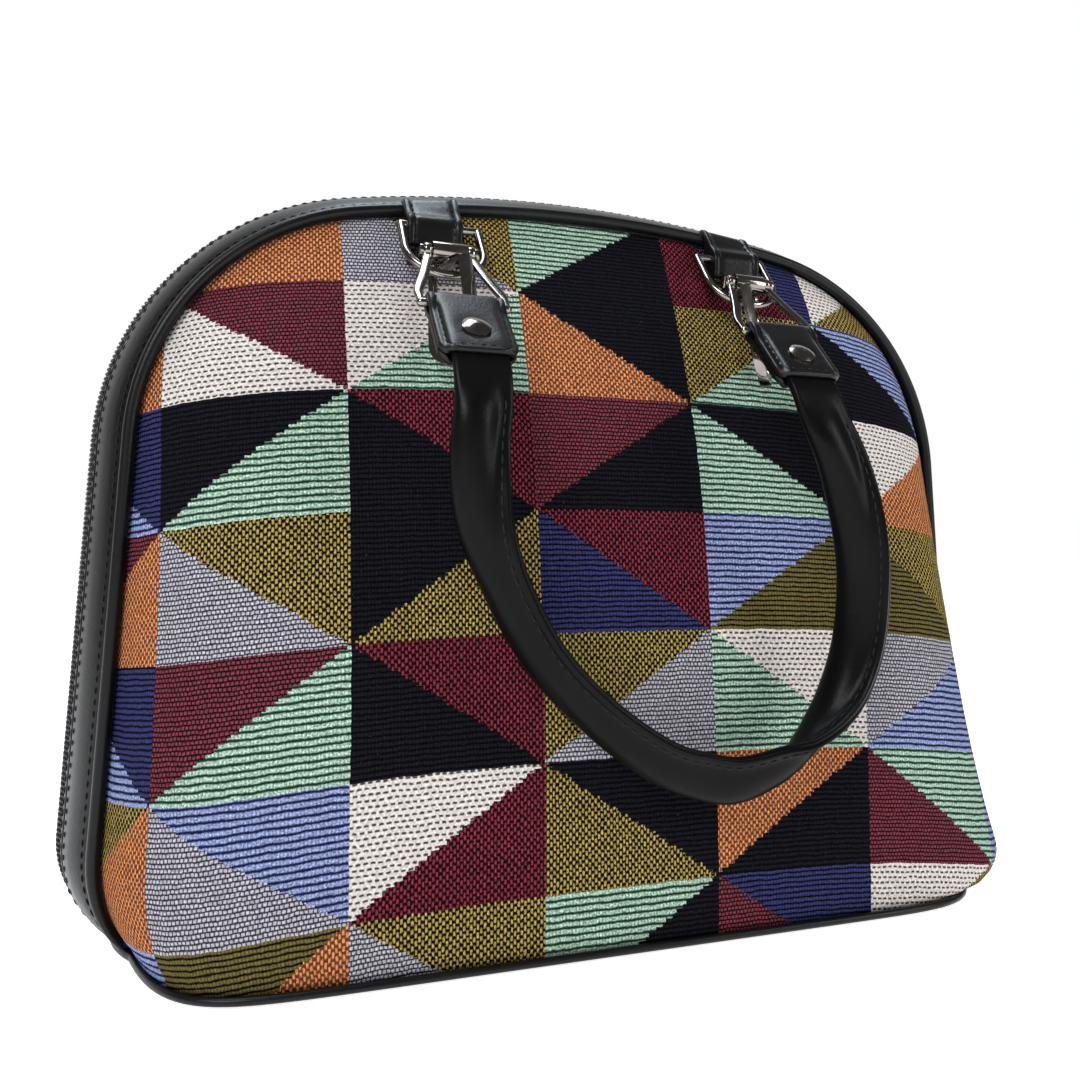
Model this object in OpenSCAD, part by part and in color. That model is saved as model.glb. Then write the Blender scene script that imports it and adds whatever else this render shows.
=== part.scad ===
// Zip-around dome handbag with woven panels, leather-look bands and two clip-on handles.
// Units are millimetres, +Z is up, the front faces -Y and the base rests on Z = 0.

/* [Bag] */
// width of the zip line at the floor
bag_w = 360; // [300:1:420]
// height of the zip line at the crown
bag_h = 272; // [230:1:320]
// depth of the base, front to back
base_d = 152; // [120:1:180]
// inward lean of the sides in degrees
side_lean = 2.9; // [1:0.1:6]
// radius of the shoulders of the arch
shoulder_r = 101; // [70:1:120]
// radius of the crown of the arch
crown_r = 520; // [300:5:900]
// how full the panels stay towards the crown
panel_fullness = 2.8; // [2:0.1:4]
// how boxy the panels are across their width
panel_boxiness = 6; // [4:0.5:9]
// wall of the woven panels with their backing
panel_t = 2.5; // [2:0.1:4]

/* [Base] */
// thickness of the base panel
base_t = 2.5; // [2:0.1:4]
// radius of the base piping
base_piping_r = 1.9; // [1.5:0.1:2.5]
// thickness of the base board
board_t = 2.5; // [2:0.1:4]

/* [Handle hardware] */
// distance of the rings from the centre line
ring_x = 58.5; // [55:0.5:72]
// sideways slack of the rings in their tabs, taken up towards the centre line
ring_slack = 2; // [0:0.1:2.3]
// width of the ring tabs
tab_w = 20; // [16:0.5:22]
// wire radius of the rings
wire_r = 1.5; // [1.2:0.1:1.6]
// radius of the bow of the rings
bow_r = 14; // [13.5:0.5:16]
// outward lean of the resting rings in degrees
ring_lean = 38; // [37:1:42]
// outward lean of the resting hooks in degrees
hook_lean = 17; // [15:1:18]
// turn of the claws on their swivels in degrees
claw_turn = 50; // [48:1:53]
// outward lean of the handle ends in degrees
flap_lean = 43; // [42:1:48]
// width of the leather end flaps
flap_w = 25.5; // [22:0.5:28]
// radius of the rivet caps
rivet_r = 4.7; // [4:0.1:5]

/* [Handle strap] */
// width of the strap
strap_w = 18; // [16:0.5:20]
// thickness of the padded strap
strap_t = 8.5; // [7:0.1:10]
// height of the lowest point of the strap's centre line
strap_low = 58; // [50:1:80]
// sideways hang of the strap's lowest point
strap_skew = 28; // [0:1:32]

/* [Zip] */
// radius of the zip coil
coil_r = 2.6; // [2:0.1:3]
// height of the slider on the right side
slider_z = 40; // [36:1:60]

/* [Hidden] */
$fn = 48;
eps = 0.01;
gap = 0.05;
seam_z = base_t + 2 * base_piping_r + 0.2;
edge_in = 14.5;
edge_y = 29.5;
edge_d = base_d / 2;

// arch of the zip line: crown arc, shoulder arcs and leaning sides
side_n = [cos(side_lean), sin(side_lean)];
crown_c = [0, bag_h - crown_r];
side_k = (bag_w / 2 * side_n[0] - shoulder_r - crown_c * side_n) / (crown_r - shoulder_r);
crown_a = (90 - side_lean) - acos(side_k);
shoulder_a = 90 - side_lean - crown_a;
shoulder_c = crown_c + (crown_r - shoulder_r) * [sin(crown_a), cos(crown_a)];

// half width of the arch at height z, set in by i
function arch_x(z, i) =
    let (zc = crown_c[1] + (crown_r - i) * cos(crown_a))
    let (zs = shoulder_c[1] + (shoulder_r - i) * side_n[1])
    let (xs = shoulder_c[0] + (shoulder_r - i) * side_n[0])
    z > zc ? sqrt(max(pow(crown_r - i, 2) - pow(z - crown_c[1], 2), 0)) :
    z > zs ? shoulder_c[0] + sqrt(max(pow(shoulder_r - i, 2) - pow(z - shoulder_c[1], 2), 0)) :
    xs + (zs - z) * tan(side_lean);

// depth of the panel surface at a share s of its half width, set in by t
function full_at(z, t) = 1 - pow(z / (bag_h - edge_in - t), panel_fullness);
function depth_at(s, z, t) = edge_y + (edge_d - t - edge_y) * full_at(z, t) * (1 - pow(abs(s), panel_boxiness));
function panel_depth(x, z) = depth_at(min(1, abs(x) / arch_x(z, edge_in)), z, 0);

// hardware positions seen from the side: depth in front of the centre plane, and height
bar_z = bag_h - 25;
bar_d = panel_depth(ring_x, bar_z) + 5.2;
leg_len = 13;
tab_x = ring_x + ring_slack;
hook_x = ring_x;
bow_len = leg_len + bow_r;
bow_d = bar_d + bow_len * sin(ring_lean);
bow_z = bar_z - bow_len * cos(ring_lean);
head_z = wire_r + 1.8;
head_t = 1.7;
barrel_r = 3.5;
neck_len = head_z + head_t + 0.3 + barrel_r;
pin_d = bow_d - neck_len * sin(hook_lean);
pin_z = bow_z + neck_len * cos(hook_lean);
loop_len = 32;
flap_len = 28;
rivet_at = loop_len + 17;
barrel_half = 6;
pin_r = 1.5;
stem_r = 1.6;
button_r = 2.2;
button_t = 1.4;

// Colours
cloth = [0.35, 0.20, 0.22];
leather = [0.10, 0.10, 0.11];
metal = [0.42, 0.40, 0.39];
board = [0.55, 0.48, 0.38];

// Helpers
module to_back() { mirror([0, 1, 0]) children(); }
module at_side(left, back) {
    mirror([left ? 1 : 0, 0, 0]) mirror([0, back ? 1 : 0, 0]) children();
}

// a profile of [outward, depth] points carried round the whole arch and cut level above the base
module round_arch(lap = 0) {
    side_len = shoulder_c[1] / cos(side_lean) + 40;
    difference() {
        union() {
            translate([0, 0, crown_c[1]]) rotate([90, 0, 0]) rotate([0, 0, 90 - crown_a])
                rotate_extrude(angle = 2 * crown_a, $fn = 360) translate([crown_r, 0]) children();
            for (m = [0, 1]) mirror([m, 0, 0]) translate([shoulder_c[0], 0, shoulder_c[1]]) {
                rotate([90, 0, 0]) rotate([0, 0, side_lean])
                    rotate_extrude(angle = shoulder_a + lap, $fn = 180) translate([shoulder_r, 0]) children();
                rotate([0, -side_lean, 0]) translate([0, 0, -side_len]) linear_extrude(side_len)
                    mirror([0, 1]) translate([shoulder_r, 0]) children();
            }
        }
        translate([-bag_w, -base_d, -60]) cube([2 * bag_w, 2 * base_d, 60 + seam_z]);
    }
}

// a closed skin over rings of points, with flat ends or joined into a loop
module skin(rings, loop = false) {
    n = len(rings[0]);
    m = len(rings);
    last = loop ? m : m - 1;
    sides = [for (j = [0 : last - 1], i = [0 : n - 1])
        let (a = j * n + i, b = j * n + (i + 1) % n, k = ((j + 1) % m) * n)
        each [[a, k + (i + 1) % n, b], [a, k + i, k + (i + 1) % n]]];
    ends = loop ? [] : [[for (i = [0 : n - 1]) i], [for (i = [n - 1 : -1 : 0]) (m - 1) * n + i]];
    polyhedron(points = [for (r = rings) each r], faces = concat(sides, ends), convexity = 6);
}

module rod(a, b, r) {
    v = b - a;
    l = norm(v);
    translate(a) rotate([0, acos(v[2] / l), atan2(v[1], v[0])]) cylinder(r = r, h = l);
}

// Panels
panel_cols = 24;
panel_rows = 20;
function panel_point(i, j, t) =
    let (top = bag_h - edge_in - t - 0.6)
    let (z = base_t + (top - base_t) * sin(90 * j / panel_rows))
    let (s = sin(180 * i / panel_cols - 90))
    [s * arch_x(z, edge_in + t), -depth_at(s, z, t), z];

module woven_panel() {
    w = panel_cols + 1;
    count = w * (panel_rows + 1);
    points = [for (t = [0, panel_t], j = [0 : panel_rows], i = [0 : panel_cols]) panel_point(i, j, t)];
    face = [for (j = [0 : panel_rows - 1], i = [0 : panel_cols - 1])
        let (a = j * w + i) each [[a, a + w, a + w + 1], [a, a + w + 1, a + 1]]];
    inside = [for (f = face) [f[2] + count, f[1] + count, f[0] + count]];
    ends = [for (i = [0 : panel_cols - 1])
        let (b = panel_rows * w + i)
        each [[i, i + 1, i + 1 + count], [i, i + 1 + count, i + count],
              [b + 1, b, b + count], [b + 1, b + count, b + 1 + count]]];
    edges = [for (j = [0 : panel_rows - 1])
        let (a = j * w, b = j * w + panel_cols)
        each [[a + w, a, a + count], [a + w, a + count, a + w + count],
              [b, b + w, b + w + count], [b, b + w + count, b + count]]];
    polyhedron(points = points, faces = concat(face, inside, ends, edges), convexity = 8);
}

module front_panel() { color(cloth) woven_panel(); }
module back_panel() { color(cloth) to_back() woven_panel(); }

// Bands, piping and zip
module band_profile() {
    polygon([[-1.0, 5.5], [-1.4, 12.6], [-1.9, 13.0], [-1.7, 13.6], [-4.5, 20], [-8.5, 26], [-11, edge_y - gap],
             [-17, edge_y - gap], [-17, edge_y - 1.5], [-11.6, edge_y - 2], [-10.2, 24.6], [-6.4, 18.9],
             [-3.3, 12.6], [-3.3, 5.5]]);
}
module front_band() { color(leather) round_arch() band_profile(); }
module back_band() { color(leather) to_back() round_arch() band_profile(); }
module piping_profile() { translate([-12.25, edge_y + 2.2]) circle(r = 2.2); }
module front_piping() { color(leather) round_arch() piping_profile(); }
module back_piping() { color(leather) to_back() round_arch() piping_profile(); }
module tape_profile() { translate([-4.4, 0.3]) square([1, 12.1]); }
module front_zip_tape() { color(leather) round_arch() tape_profile(); }
module back_zip_tape() { color(leather) to_back() round_arch() tape_profile(); }
module coil_profile() {
    r = coil_r;
    polygon([[-3.4, -0.85 * r], [-1.2, -r], [0.35 * r - 1.2, -0.93 * r], [0.8 * r - 1.2, -0.6 * r], [r - 1.2, -0.2 * r],
             [r - 1.2, 0.2 * r], [0.8 * r - 1.2, 0.6 * r], [0.35 * r - 1.2, 0.93 * r], [-1.2, r], [-3.4, 0.85 * r]]);
}
module zip_coil() { color(leather) round_arch(0.02) coil_profile(); }

// the slider rides on the straight right-hand stretch of the coil
module on_right_side() {
    d = (shoulder_c[1] + shoulder_r * sin(side_lean) - slider_z) / cos(side_lean);
    translate([shoulder_c[0], 0, shoulder_c[1]]) rotate([0, -side_lean, 0])
        translate([shoulder_r, 0, -d]) children();
}
bail_x = 5.2;
module zip_slider() {
    color(metal) on_right_side() difference() {
        union() {
            translate([-3.0, -4.9, -6]) cube([6.2, 9.8, 12]);
            translate([3.2 - eps, -2.6, -4.2]) cube([4.6, 1.2, 8.4]);
            translate([3.2 - eps, 1.4, -4.2]) cube([4.6, 1.2, 8.4]);
        }
        translate([-1.2, 0, -7]) cylinder(r = coil_r + 0.3, h = 14);
        translate([-3.5, -coil_r - 0.3, -7]) cube([2.3, 2 * coil_r + 0.6, 14]);
        translate([bail_x, -5, 0]) rotate([-90, 0, 0]) cylinder(r = 1.05, h = 10);
    }
}
module zip_pull() {
    color(metal) on_right_side() translate([bail_x, 0, 0]) {
        translate([0, -2.9, 0]) rotate([-90, 0, 0]) cylinder(r = 1.0, h = 5.8);
        difference() {
            union() {
                translate([0, -1.1, 0]) rotate([-90, 0, 0]) cylinder(r = 1.6, h = 2.2);
                translate([-0.8, -1.1, -9]) cube([1.6, 2.2, 9]);
                translate([-0.8, -3.6, -30]) cube([1.6, 7.2, 21.5]);
            }
            translate([-2, 0, -26]) rotate([0, 90, 0]) cylinder(r = 1.8, h = 4);
        }
    }
}

// Base
base_steps = 24;
function base_point(s, off) =
    let (x = s * arch_x(0, edge_in), n = panel_boxiness)
    let (y = -depth_at(s, base_t, 0))
    let (slope = -sign(s) * (edge_d - edge_y) * full_at(base_t, 0) * n * pow(abs(s), n - 1) / arch_x(0, edge_in))
    [x, y] + off * [-slope, -1] / norm([slope, 1]);
function base_front(off) = [for (i = [0 : base_steps]) base_point(sin(180 * i / base_steps - 90), off)];
function base_end(off) =
    let (a = base_point(1, off), b = bag_w / 2 - 1 + off, steps = 6)
    [for (i = [1 : 2 * steps - 1])
        let (y = -a[1] * (i / steps - 1))
        [b - (b - a[0]) * pow(y / a[1], 2), y]];
function base_line(off) =
    let (f = base_front(off), e = base_end(off))
    concat(f, e, [for (p = f) -p], [for (p = e) -p]);

module base_panel() { color(leather) linear_extrude(base_t) polygon(base_line(1)); }
module base_board() {
    color(board) translate([0, 0, base_t]) linear_extrude(board_t) polygon(base_line(-19));
}
module base_piping() {
    r = base_piping_r;
    z = base_t + r + gap;
    mid = base_line(r + gap);
    near = base_line(r + gap - 1);
    color(leather) skin([for (i = [0 : len(mid) - 1])
        let (d = (mid[i] - near[i]) / norm(mid[i] - near[i]))
        [for (a = [22.5 : 45 : 359]) [mid[i][0] + r * cos(a) * d[0], mid[i][1] + r * cos(a) * d[1], z + r * sin(a)]]],
        loop = true);
}

// Ring tabs: a folded leather strip with the ring's bar in its fold
function tab_rear(z) = panel_depth(tab_x - tab_w / 2, z) + 0.3;
module ring_tab() {
    top = bag_h - 25 + 11.2;
    low = bar_z - 14.5;
    lift = 2.3;
    heights = [for (i = [0 : 6]) low + (bar_z + 1.5 - low) * i / 6];
    translate([tab_x - tab_w / 2, 0, 0]) rotate([90, 0, 90]) linear_extrude(tab_w) difference() {
        union() {
            polygon(concat(
                [for (z = heights) [-tab_rear(z), z]],
                [[-edge_y - 4.9, bar_z + 5.8], [-edge_y - 4.9, top], [-edge_y - 1, top + 2],
                 [-edge_y - 2.4, top + 3.9], [-edge_y - 7.1, top + 0.8], [-edge_y - 7.4, bar_z + 6]],
                [for (i = [6 : -1 : 0]) let (z = heights[i]) [-tab_rear(z) - (i % 2 == 0 ? lift : lift - 0.5), z]]));
            translate([-bar_d, bar_z]) circle(r = wire_r + 1.9);
        }
        translate([-bar_d, bar_z]) circle(r = wire_r + gap);
    }
}
module front_left_tab() { color(leather) at_side(true, false) ring_tab(); }
module front_right_tab() { color(leather) at_side(false, false) ring_tab(); }
module back_left_tab() { color(leather) at_side(true, true) ring_tab(); }
module back_right_tab() { color(leather) at_side(false, true) ring_tab(); }

// D-rings
module d_ring() {
    translate([ring_x, -bar_d, bar_z]) rotate([-ring_lean, 0, 0]) {
        rod([-bow_r, 0, 0], [bow_r, 0, 0], wire_r);
        for (s = [-1, 1]) {
            translate([s * bow_r, 0, 0]) sphere(r = wire_r);
            rod([s * bow_r, 0, -leg_len], [s * bow_r, 0, 0], wire_r);
        }
        translate([0, 0, -leg_len]) rotate([90, 0, 0]) rotate([0, 0, 180])
            rotate_extrude(angle = 180, $fn = 96) translate([bow_r, 0]) circle(r = wire_r);
    }
}
module front_left_ring() { color(metal) at_side(true, false) d_ring(); }
module front_right_ring() { color(metal) at_side(false, false) d_ring(); }
module back_left_ring() { color(metal) at_side(true, true) d_ring(); }
module back_right_ring() { color(metal) at_side(false, true) d_ring(); }

// Snap hooks: claw with its swivel stem, spring gate, barrel with cross pins
module in_hook() {
    translate([hook_x, -bow_d, bow_z]) rotate([-hook_lean, 0, 0]) children();
}
gate_x = 7.2;
gate_z = head_z + 0.6;
claw_t = 3.6;
bow_out = 9.6;
bow_in = 6;
bow_drop = 24;
// outline of a drop: a level top of half width w at height h, and a round end of radius r
function drop_line(w, h, r) =
    let (l = norm([w, h + bow_drop]), a = atan2(h + bow_drop, w) - acos(r / l))
    concat([[-w, h], [w, h]], [for (i = [0 : 20]) [r * cos(a - (180 + 2 * a) * i / 20),
        -bow_drop + r * sin(a - (180 + 2 * a) * i / 20)]]);
module claw() {
    top = head_z + head_t;
    in_hook() rotate([0, 0, claw_turn]) difference() {
        union() {
            translate([0, claw_t / 2, 0]) rotate([90, 0, 0]) linear_extrude(claw_t) difference() {
                polygon(drop_line(8.2, top, bow_out));
                polygon(drop_line(5.0, head_z, bow_in));
                translate([2, -15]) square([12, 15 + head_z]);
                translate([4.6, 0.6]) square([8, 8]);
            }
            for (s = [0, 1]) mirror([0, s, 0]) translate([3, 1.4, head_z - 0.4]) cube([5.4, 1.2, 0.4 + head_t]);
            translate([0, 0, top - 0.2]) cylinder(r = stem_r, h = neck_len - top + 0.7);
            translate([0, 0, neck_len]) cylinder(r = button_r, h = button_t);
        }
        translate([gate_x, -4, gate_z]) rotate([-90, 0, 0]) cylinder(r = 0.8, h = 8);
    }
}
module gate() {
    in_hook() rotate([0, 0, claw_turn]) {
        translate([gate_x, -2.6, gate_z]) rotate([-90, 0, 0]) cylinder(r = 0.75, h = 5.2);
        translate([gate_x, -1.2, gate_z]) rotate([-90, 0, 0]) cylinder(r = 1.5, h = 2.4);
        translate([gate_x, 0, gate_z]) rotate([0, -3, 0]) translate([-1.2, -1.2, -17.7]) cube([2.4, 2.4, 17.7]);
    }
}
module barrel() {
    in_hook() translate([0, 0, neck_len]) difference() {
        union() {
            translate([-barrel_half, 0, 0]) rotate([0, 90, 0]) cylinder(r = barrel_r, h = 2 * barrel_half);
            translate([-9, 0, 0]) rotate([0, 90, 0]) cylinder(r = pin_r, h = 18);
            for (s = [-1, 1]) translate([s * 9.6, 0, 0]) rotate([0, 90, 0]) cylinder(r = 2.2, h = 1.2, center = true);
        }
        translate([0, 0, -barrel_r - 1]) cylinder(r = stem_r + gap, h = barrel_r + 1);
        translate([0, 0, -0.2]) cylinder(r = button_r + gap, h = button_t + 0.4);
    }
}
module front_left_claw() { color(metal) at_side(true, false) claw(); }
module front_right_claw() { color(metal) at_side(false, false) claw(); }
module back_left_claw() { color(metal) at_side(true, true) claw(); }
module back_right_claw() { color(metal) at_side(false, true) claw(); }
module front_left_gate() { color(metal) at_side(true, false) gate(); }
module front_right_gate() { color(metal) at_side(false, false) gate(); }
module back_left_gate() { color(metal) at_side(true, true) gate(); }
module back_right_gate() { color(metal) at_side(false, true) gate(); }
module front_left_barrel() { color(metal) at_side(true, false) barrel(); }
module front_right_barrel() { color(metal) at_side(false, false) barrel(); }
module back_left_barrel() { color(metal) at_side(true, true) barrel(); }
module back_right_barrel() { color(metal) at_side(false, true) barrel(); }

// Handle ends: wire loop on the pins, leather flap folded round its bar, rivet
module in_flap() {
    translate([hook_x, -pin_d, pin_z]) rotate([-flap_lean, 0, 0]) children();
}
loop_half = flap_w / 2 + 1.6;
module wire_loop() {
    in_flap() difference() {
        union() {
            rod([-loop_half, 0, -loop_len], [loop_half, 0, -loop_len], wire_r);
            for (s = [-1, 1]) {
                translate([s * 7.6, 0, 0]) rotate([0, 90, 0]) cylinder(r = 2.8, h = 2.4, center = true);
                rod([s * 7.6, 0, -2], [s * loop_half, 0, -loop_len + 7.5], 1.2);
                translate([s * loop_half, 0, -loop_len + 7.5]) sphere(r = 1.35);
                rod([s * loop_half, 0, -loop_len], [s * loop_half, 0, -loop_len + 7.5], 1.2);
                translate([s * loop_half, 0, -loop_len]) sphere(r = wire_r);
            }
        }
        translate([-20, 0, 0]) rotate([0, 90, 0]) cylinder(r = pin_r + gap, h = 40);
        translate([-6.3, 0, 0]) rotate([0, 90, 0]) cylinder(r = 5, h = 12.6);
    }
}
module end_flap() {
    far = loop_len + flap_len;
    in_flap() difference() {
        union() {
            translate([-flap_w / 2, 0, -loop_len]) rotate([0, 90, 0]) cylinder(r = 3.7, h = flap_w);
            translate([-flap_w / 2, -3.6, -far]) cube([flap_w, 7.2, flap_len]);
        }
        translate([-flap_w, 0, -loop_len]) rotate([0, 90, 0]) cylinder(r = wire_r + 0.1, h = 2 * flap_w);
        translate([-flap_w, -1.6, -far - 1]) cube([2 * flap_w, 3.2, flap_len - 7]);
        translate([0, 0, -rivet_at]) rotate([90, 0, 0]) cylinder(r = 1.7, h = 20, center = true);
    }
}
module rivet() {
    in_flap() translate([0, 0, -rivet_at]) {
        rotate([90, 0, 0]) cylinder(r = 1.6, h = 8, center = true);
        for (s = [0, 1]) mirror([0, s, 0]) translate([0, 3.65, 0]) rotate([-90, 0, 0]) intersection() {
            cylinder(r = rivet_r, h = 4);
            translate([0, 0, 1.9 - 2 * rivet_r]) sphere(r = 2 * rivet_r, $fn = 64);
        }
    }
}
module front_left_loop() { color(metal) at_side(true, false) wire_loop(); }
module front_right_loop() { color(metal) at_side(false, false) wire_loop(); }
module back_left_loop() { color(metal) at_side(true, true) wire_loop(); }
module back_right_loop() { color(metal) at_side(false, true) wire_loop(); }
module front_left_flap() { color(leather) at_side(true, false) end_flap(); }
module front_right_flap() { color(leather) at_side(false, false) end_flap(); }
module back_left_flap() { color(leather) at_side(true, true) end_flap(); }
module back_right_flap() { color(leather) at_side(false, true) end_flap(); }
module front_rivets() { color(metal) for (l = [false, true]) at_side(l, false) rivet(); }
module back_rivets() { color(metal) for (l = [false, true]) at_side(l, true) rivet(); }

// Strap: a padded strip that leaves the flaps flat, hangs in a U and turns on the way
strap_from = loop_len + 8.5;
strap_to = loop_len + flap_len;
function flap_point(s, t) = [s * hook_x, -pin_d - t * sin(flap_lean), pin_z - t * cos(flap_lean)];
end_z = pin_z - strap_to * cos(flap_lean);
end_d = pin_d + strap_to * sin(flap_lean);
drop = end_z - strap_low;
// share of the drop, sideways bulge, depth and share of the sideways hang, from flap to lowest point
hang = [[0.1, 1.5, 4.2, 0.05], [0.22, 5.5, 5.0, 0.15], [0.376, 7.7, 4.2, 0.29], [0.517, 5.4, 2.8, 0.46],
        [0.68, -1.8, 1.2, 0.66], [0.82, -14.5, 0.2, 0.85], [0.933, -31.5, -0.3, 0.97], [0.98, -45.5, -0.4, 1]];
function hang_point(s, k) =
    [s * (hook_x + k[1]) + strap_skew * k[3], -end_d - k[2], end_z - drop * k[0]];
keys = concat(
    [flap_point(-1, strap_from), flap_point(-1, strap_to)],
    [for (k = hang) hang_point(-1, k)],
    [[strap_skew, -end_d + 0.4, strap_low]],
    [for (i = [len(hang) - 1 : -1 : 0]) hang_point(1, hang[i])],
    [flap_point(1, strap_to), flap_point(1, strap_from)]);
function spline(a, b, c, d, u) =
    0.5 * (2 * b + (c - a) * u + (2 * a - 5 * b + 4 * c - d) * u * u + (3 * b - a - 3 * c + d) * u * u * u);
strap_cuts = 3;
path = concat([keys[0]],
    [for (i = [1 : len(keys) - 3], u = [0 : strap_cuts - 1])
        spline(keys[i - 1], keys[i], keys[i + 1], keys[i + 2], u / strap_cuts)],
    [keys[len(keys) - 2], keys[len(keys) - 1]]);
// direction of the stitched edge along the strap
turns = [[-1, [1, 0, 0]], [-0.84, [1, 0, 0]], [-0.5, [0.55, -0.83, 0]], [0, [0.1, -0.5, 0.86]],
         [0.5, [0.6, -0.8, 0]], [0.84, [1, 0, 0]], [1, [1, 0, 0]]];
function mix(a, b, u) = a + (b - a) * u;
function ease(u) = u * u * (3 - 2 * u);
function turn_at(p) =
    let (i = [for (k = [0 : len(turns) - 2]) if (p >= turns[k][0] && p <= turns[k + 1][0]) k][0])
    mix(turns[i][1], turns[i + 1][1], ease((p - turns[i][0]) / (turns[i + 1][0] - turns[i][0])));
function unit(v) = v / norm(v);
function strap_ring(j) =
    let (n = len(path), p = 2 * j / (n - 1) - 1)
    let (t = unit(path[min(n - 1, j + 1)] - path[max(0, j - 1)]))
    let (w0 = turn_at(p), w = unit(w0 - (w0 * t) * t), b = cross(t, w))
    let (pad = ease(min(1, max(0, (0.93 - abs(p)) / 0.13))))
    let (h = mix(1.5, strap_t / 2, pad))
    [for (a = [0 : 360 / 14 : 359])
        path[j] + w * strap_w / 2 * sign(cos(a)) * pow(abs(cos(a)), 0.7)
                + b * h * sign(sin(a)) * pow(abs(sin(a)), 0.7)];
module strap() {
    difference() {
        skin([for (j = [0 : len(path) - 1]) strap_ring(j)]);
        for (l = [false, true]) at_side(l, false) in_flap() translate([0, 0, -rivet_at]) rotate([90, 0, 0])
            cylinder(r = 1.7, h = 12, center = true);
    }
}
module front_strap() { color(leather) strap(); }
module back_strap() { color(leather) to_back() strap(); }

front_panel();
back_panel();
front_band();
back_band();
front_piping();
back_piping();
base_panel();
base_piping();
base_board();
front_zip_tape();
back_zip_tape();
zip_coil();
zip_slider();
zip_pull();
front_left_tab();
front_right_tab();
back_left_tab();
back_right_tab();
front_left_ring();
front_right_ring();
back_left_ring();
back_right_ring();
front_left_claw();
front_right_claw();
back_left_claw();
back_right_claw();
front_left_gate();
front_right_gate();
back_left_gate();
back_right_gate();
front_left_barrel();
front_right_barrel();
back_left_barrel();
back_right_barrel();
front_left_loop();
front_right_loop();
back_left_loop();
back_right_loop();
front_left_flap();
front_right_flap();
back_left_flap();
back_right_flap();
front_rivets();
back_rivets();
front_strap();
back_strap();
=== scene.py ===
"""Looks of the zip-around dome handbag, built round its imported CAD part."""

import math

import bmesh
import bpy
import numpy as np
from mathutils import Matrix, Vector


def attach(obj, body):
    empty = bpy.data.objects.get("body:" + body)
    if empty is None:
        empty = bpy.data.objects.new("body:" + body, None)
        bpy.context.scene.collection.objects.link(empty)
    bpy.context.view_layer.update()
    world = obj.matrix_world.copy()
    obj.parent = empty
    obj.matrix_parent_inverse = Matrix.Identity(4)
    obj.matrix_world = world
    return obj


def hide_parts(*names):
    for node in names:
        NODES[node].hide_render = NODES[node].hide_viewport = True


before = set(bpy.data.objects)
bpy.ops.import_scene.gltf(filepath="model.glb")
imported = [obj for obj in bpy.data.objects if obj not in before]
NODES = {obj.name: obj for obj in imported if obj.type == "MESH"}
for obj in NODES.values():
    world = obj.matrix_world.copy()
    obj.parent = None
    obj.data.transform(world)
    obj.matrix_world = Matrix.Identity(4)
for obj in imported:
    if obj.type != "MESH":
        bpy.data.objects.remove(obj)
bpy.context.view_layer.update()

# Sizes of the part in millimetres, as in its source
MM = 0.001
BAG_W, BAG_H, BASE_D = 360.0, 272.0, 152.0
LEAN = math.radians(2.9)
SHOULDER_R, CROWN_R = 101.0, 520.0
FULLNESS, BOXINESS = 2.8, 6.0
EDGE_IN, EDGE_Y = 14.5, 29.5
PANEL_TOP = BAG_H - EDGE_IN
BASE_T, BASE_PIPING_R = 2.5, 1.9
SEAM_Z = BASE_T + 2 * BASE_PIPING_R + 0.2
HOOK_X, TAB_X, TAB_W, BOW_R, LEG_LEN = 58.5, 60.5, 20.0, 14.0, 13.0
RING_LEAN, HOOK_LEAN, FLAP_LEAN = math.radians(38), math.radians(17), math.radians(43)
NECK_LEN, LOOP_LEN, FLAP_LEN, FLAP_W, RIVET_AT, PIN_R = 8.8, 32.0, 28.0, 25.5, 49.0, 1.5
STRAP_LOW, STRAP_SKEW = 58.0, 28.0

# Soft forms of the filled bag: squarer lower corners, feet drawn in and a stuffed lower right corner
LOW_BOXINESS, SQUARE_BELOW = 11.5, 240.0
LEFT_FOOT_R, RIGHT_FOOT_R, FOOT_LOW, FOOT_POWER = 36.0, 20.0, 4.5, 5
BULGE, BULGE_FADE, BULGE_ROUND = 23.0, 59.0, 16.0
BULGE_FROM, BULGE_RISE, BULGE_END = 0.45, 0.42, 0.1

SIDE_N = np.array([math.cos(LEAN), math.sin(LEAN)])
CROWN_C = np.array([0.0, BAG_H - CROWN_R])
SIDE_K = (BAG_W / 2 * SIDE_N[0] - SHOULDER_R - CROWN_C @ SIDE_N) / (CROWN_R - SHOULDER_R)
CROWN_A = math.pi / 2 - LEAN - math.acos(SIDE_K)
SHOULDER_C = CROWN_C + (CROWN_R - SHOULDER_R) * np.array([math.sin(CROWN_A), math.cos(CROWN_A)])


def smooth_step(t):
    """Smooth rise from 0 to 1, level outside."""
    t = np.clip(t, 0, 1)
    return t * t * (3 - 2 * t)


def circle_angles(count):
    """Angles of even steps round a circle."""
    return np.arange(count) * 2 * math.pi / count


def unit(v):
    """The vector at length one."""
    return v / max(np.linalg.norm(v), 1e-9)


def run_along(x, y):
    """Distance of each point from the start of a flat line."""
    return np.concatenate([[0], np.cumsum(np.hypot(np.diff(x), np.diff(y)))])


def side_name(back):
    return "back" if back else "front"


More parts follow.
